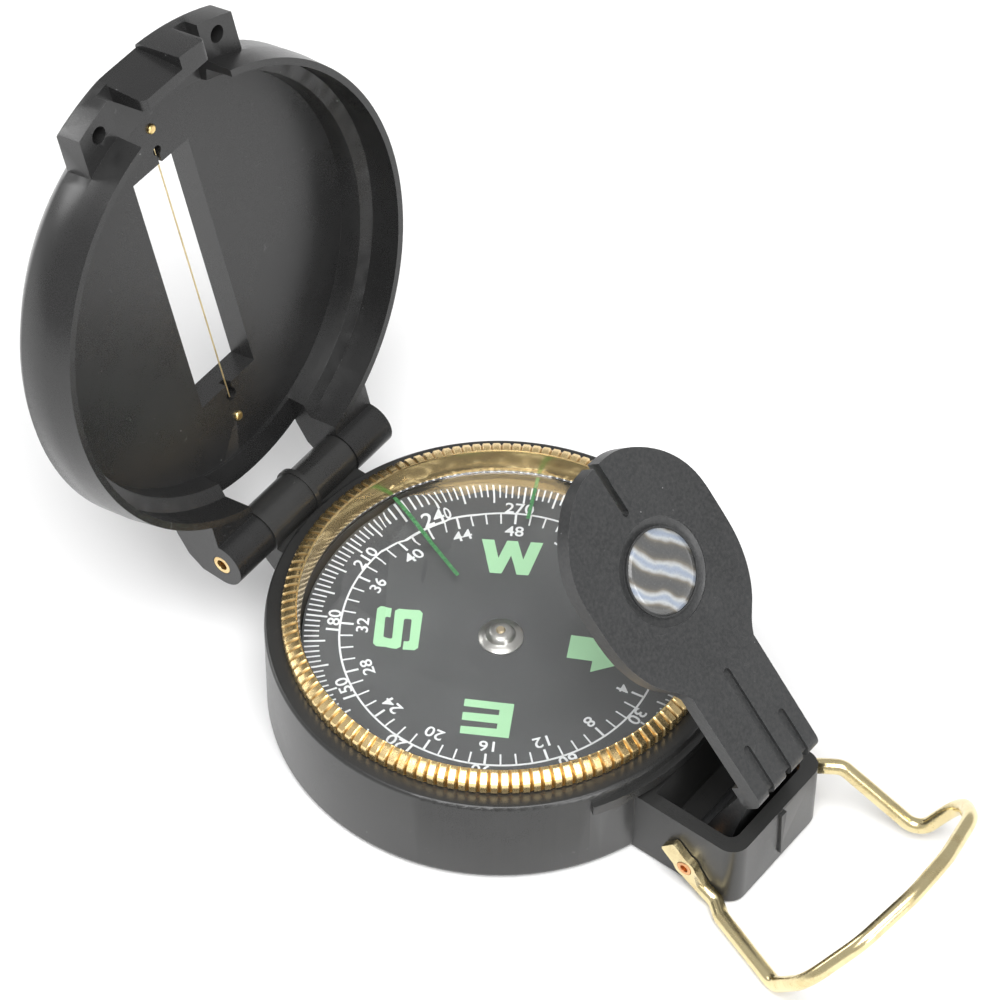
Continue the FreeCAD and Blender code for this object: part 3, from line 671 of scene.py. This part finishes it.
# ---- the knurled bezel ----------------------------------------------------------
CONE = [(GLASS_EDGE - 0.32, GLASS_TOP + 0.12), (BEZEL_EDGE - 2.2, GLASS_TOP + 0.4),
        (BEZEL_EDGE - 2.12, BEZEL_TOP - 2.3), (BEZEL_EDGE - 1.95, BEZEL_TOP - 0.6),
        (BEZEL_EDGE - 1.88, BEZEL_TOP - 0.15)]      # the ring's inner face, from the crystal up
TOOTH_PARTS = 5         # columns of faces in one tooth and its groove
GROOVE_DEEP = 0.36
SLOPE_WIDE = 1.6        # how far in the grooves run before they fade out
COLLAR = 0.99           # wall of the collar round the crystal
BEHIND_RING = 0.53      # wall left behind the retaining ring's groove
SKIRT_RISE = 1.12       # underside of the knurled skirt above the crystal's face
GROOVE_LIP = 0.22


def make_bezel():
    """Brass ring with a smooth inner cone and V grooves over its outer shoulder."""
    r, top, foot, glass = BEZEL_EDGE, BEZEL_TOP, BEZEL_FOOT, GLASS_EDGE
    collar, neck = glass + COLLAR, glass + BEHIND_RING
    skirt = GLASS_TOP + SKIRT_RISE
    profile = [(glass, foot), (collar, foot), (collar, GLASS_TOP), (neck, GLASS_TOP),
               (neck, skirt - GROOVE_LIP), (collar, skirt - GROOVE_LIP), (collar, skirt),
               (r - 0.25, skirt), (r - 0.06, skirt + 0.08), (r, skirt + 0.3), (r, top - 1.0),
               (r - 0.12, top - 0.7), (r - 0.7, top - 0.34), (r - 1.25, top - 0.1), (r - 1.6, top),
               (r - 1.75, top - 0.02)]
    profile += CONE[::-1] + [(glass - 0.3, GLASS_TOP), (glass, GLASS_TOP)]
    bm = lathe(profile, TEETH * TOOTH_PARTS)
    pitch = math.tau / TEETH
    for vert in bm.verts:
        radius = math.hypot(vert.co.x, vert.co.y)
        column = round(math.atan2(vert.co.y, vert.co.x) / pitch * TOOTH_PARTS) % TOOTH_PARTS
        if column or radius < r - KNURL_IN or vert.co.z < skirt + 0.03:
            continue
        inward = min(1.0, (r - radius) / SLOPE_WIDE)
        depth = GROOVE_DEEP * (1 - 0.45 * inward)
        scale = (radius - depth * (1 - 0.75 * inward)) / radius
        sink = depth * (0.1 + 0.8 * inward)
        vert.co = (vert.co.x * scale, vert.co.y * scale, vert.co.z - sink)
    bmesh.ops.recalc_face_normals(bm, faces=bm.faces)
    from_bmesh("bezel_knurled_ring", bm, finishes["bezel_brass"], "bezel", "bezel_brass",
               ("bezel_ring",), sharp=28)


# ---- the set --------------------------------------------------------------------
FLOOR_REACH = 2.5       # metres each way from the compass
FLOOR_GAP = 0.00002     # metres under it
WORLD_STRENGTH = 0.5
LAMP_AIM = (0, 0, 0.02)
LAMPS = {               # place and size in metres, power in watts
    "top lamp": ((0.25, -0.3, 0.9), (0.7, 0.7), 10.0),
    "side lamp": ((-0.9, -0.1, 0.45), (0.4, 0.4), 3.0),
    "bracket lamp": ((0.9, -0.25, 0.35), (0.25, 0.5), 3.0),
}


def make_floor():
    """A pale, plain floor just under the case."""
    bm = bmesh.new()
    bmesh.ops.create_grid(bm, x_segments=1, y_segments=1, size=FLOOR_REACH)
    bmesh.ops.translate(bm, vec=(0, 0, cad_box[0][2] - FLOOR_GAP), verts=bm.verts)
    mesh = bpy.data.meshes.new("floor")
    bm.to_mesh(mesh)
    bm.free()
    f = Finish("pale floor", Roughness=0.9)
    f.set(Base_Color=f.mix(f.noise(60.0), grey(0.90), grey(0.93)))
    mesh.materials.append(f.material)
    floor = bpy.data.objects.new("floor", mesh)
    bpy.context.scene.collection.objects.link(floor)


def soft_lamp(name, place, size, power):
    """A rectangular lamp that faces the compass."""
    data = bpy.data.lights.new(name, "AREA")
    data.shape = "RECTANGLE"
    data.size, data.size_y = size
    data.energy = power
    lamp = bpy.data.objects.new(name, data)
    aim = (Vector(place) - Vector(LAMP_AIM)).to_track_quat("Z", "Y")
    lamp.matrix_world = Matrix.Translation(place) @ aim.to_matrix().to_4x4()
    bpy.context.scene.collection.objects.link(lamp)


def make_light():
    """A white surround and three soft lamps."""
    world = bpy.data.worlds.new("studio")
    world.use_nodes = True
    surround = world.node_tree.nodes["Background"]
    surround.inputs["Color"].default_value = (1, 1, 1, 1)
    surround.inputs["Strength"].default_value = WORLD_STRENGTH
    bpy.context.scene.world = world
    for name, (place, size, power) in LAMPS.items():
        soft_lamp(name, place, size, power)


place_camera()
make_light()
make_floor()
bpy.context.scene.view_settings.view_transform = "Standard"

for node, finish in (("capsule_cup", "capsule_plastic"), ("pivot_post", "pivot_brass"),
                     ("dial_card", "dial_plastic"), ("dial_magnet", "magnet_steel"),
                     ("bezel_retaining_ring", "spring_steel"), ("lens_retainer", "arm_plastic"),
                     ("index_line_long", "index_green"), ("index_line_short", "index_green")):
    frame["nodes"][node].material_slots[0].material = finishes[finish]

MOULDED_EDGE = 0.14
RIVET_EDGE = 0.06
detailed_copy("case_body", "case_body_moulding", "case_plastic", MOULDED_EDGE, painted_edge_highlight)
detailed_copy("lid", "lid_moulding", "lid_plastic", MOULDED_EDGE, painted_edge_highlight)
detailed_copy("lens_arm", "lens_arm_moulding", "arm_plastic", MOULDED_EDGE, painted_edge_highlight)
detailed_copy("hinge_pin", "hinge_rivet", "hinge_brass", RIVET_EDGE)
detailed_copy("axle_pin", "axle_rivet", "axle_copper", RIVET_EDGE)
detailed_copy("wire_pins", "sight_wire_pins", "pin_brass")
detailed_copy("sight_wire", "sight_wire_strand", "wire_brass")
detailed_copy("crystal", "crystal_window", "clear_crystal", slim=0.0015)
detailed_copy("lens", "lens_dome", "lens_glass")
detailed_copy("jewel_cap", "jewel_cap_turned", "nickel", 0.03)
detailed_copy("jewel_bearing", "jewel_bearing_turned", "pivot_brass")
detailed_copy("thumb_loop", "thumb_loop_wire", "loop_brass", 0.08)
make_degree_scale()
make_mil_scale()
make_letters()
make_bezel()
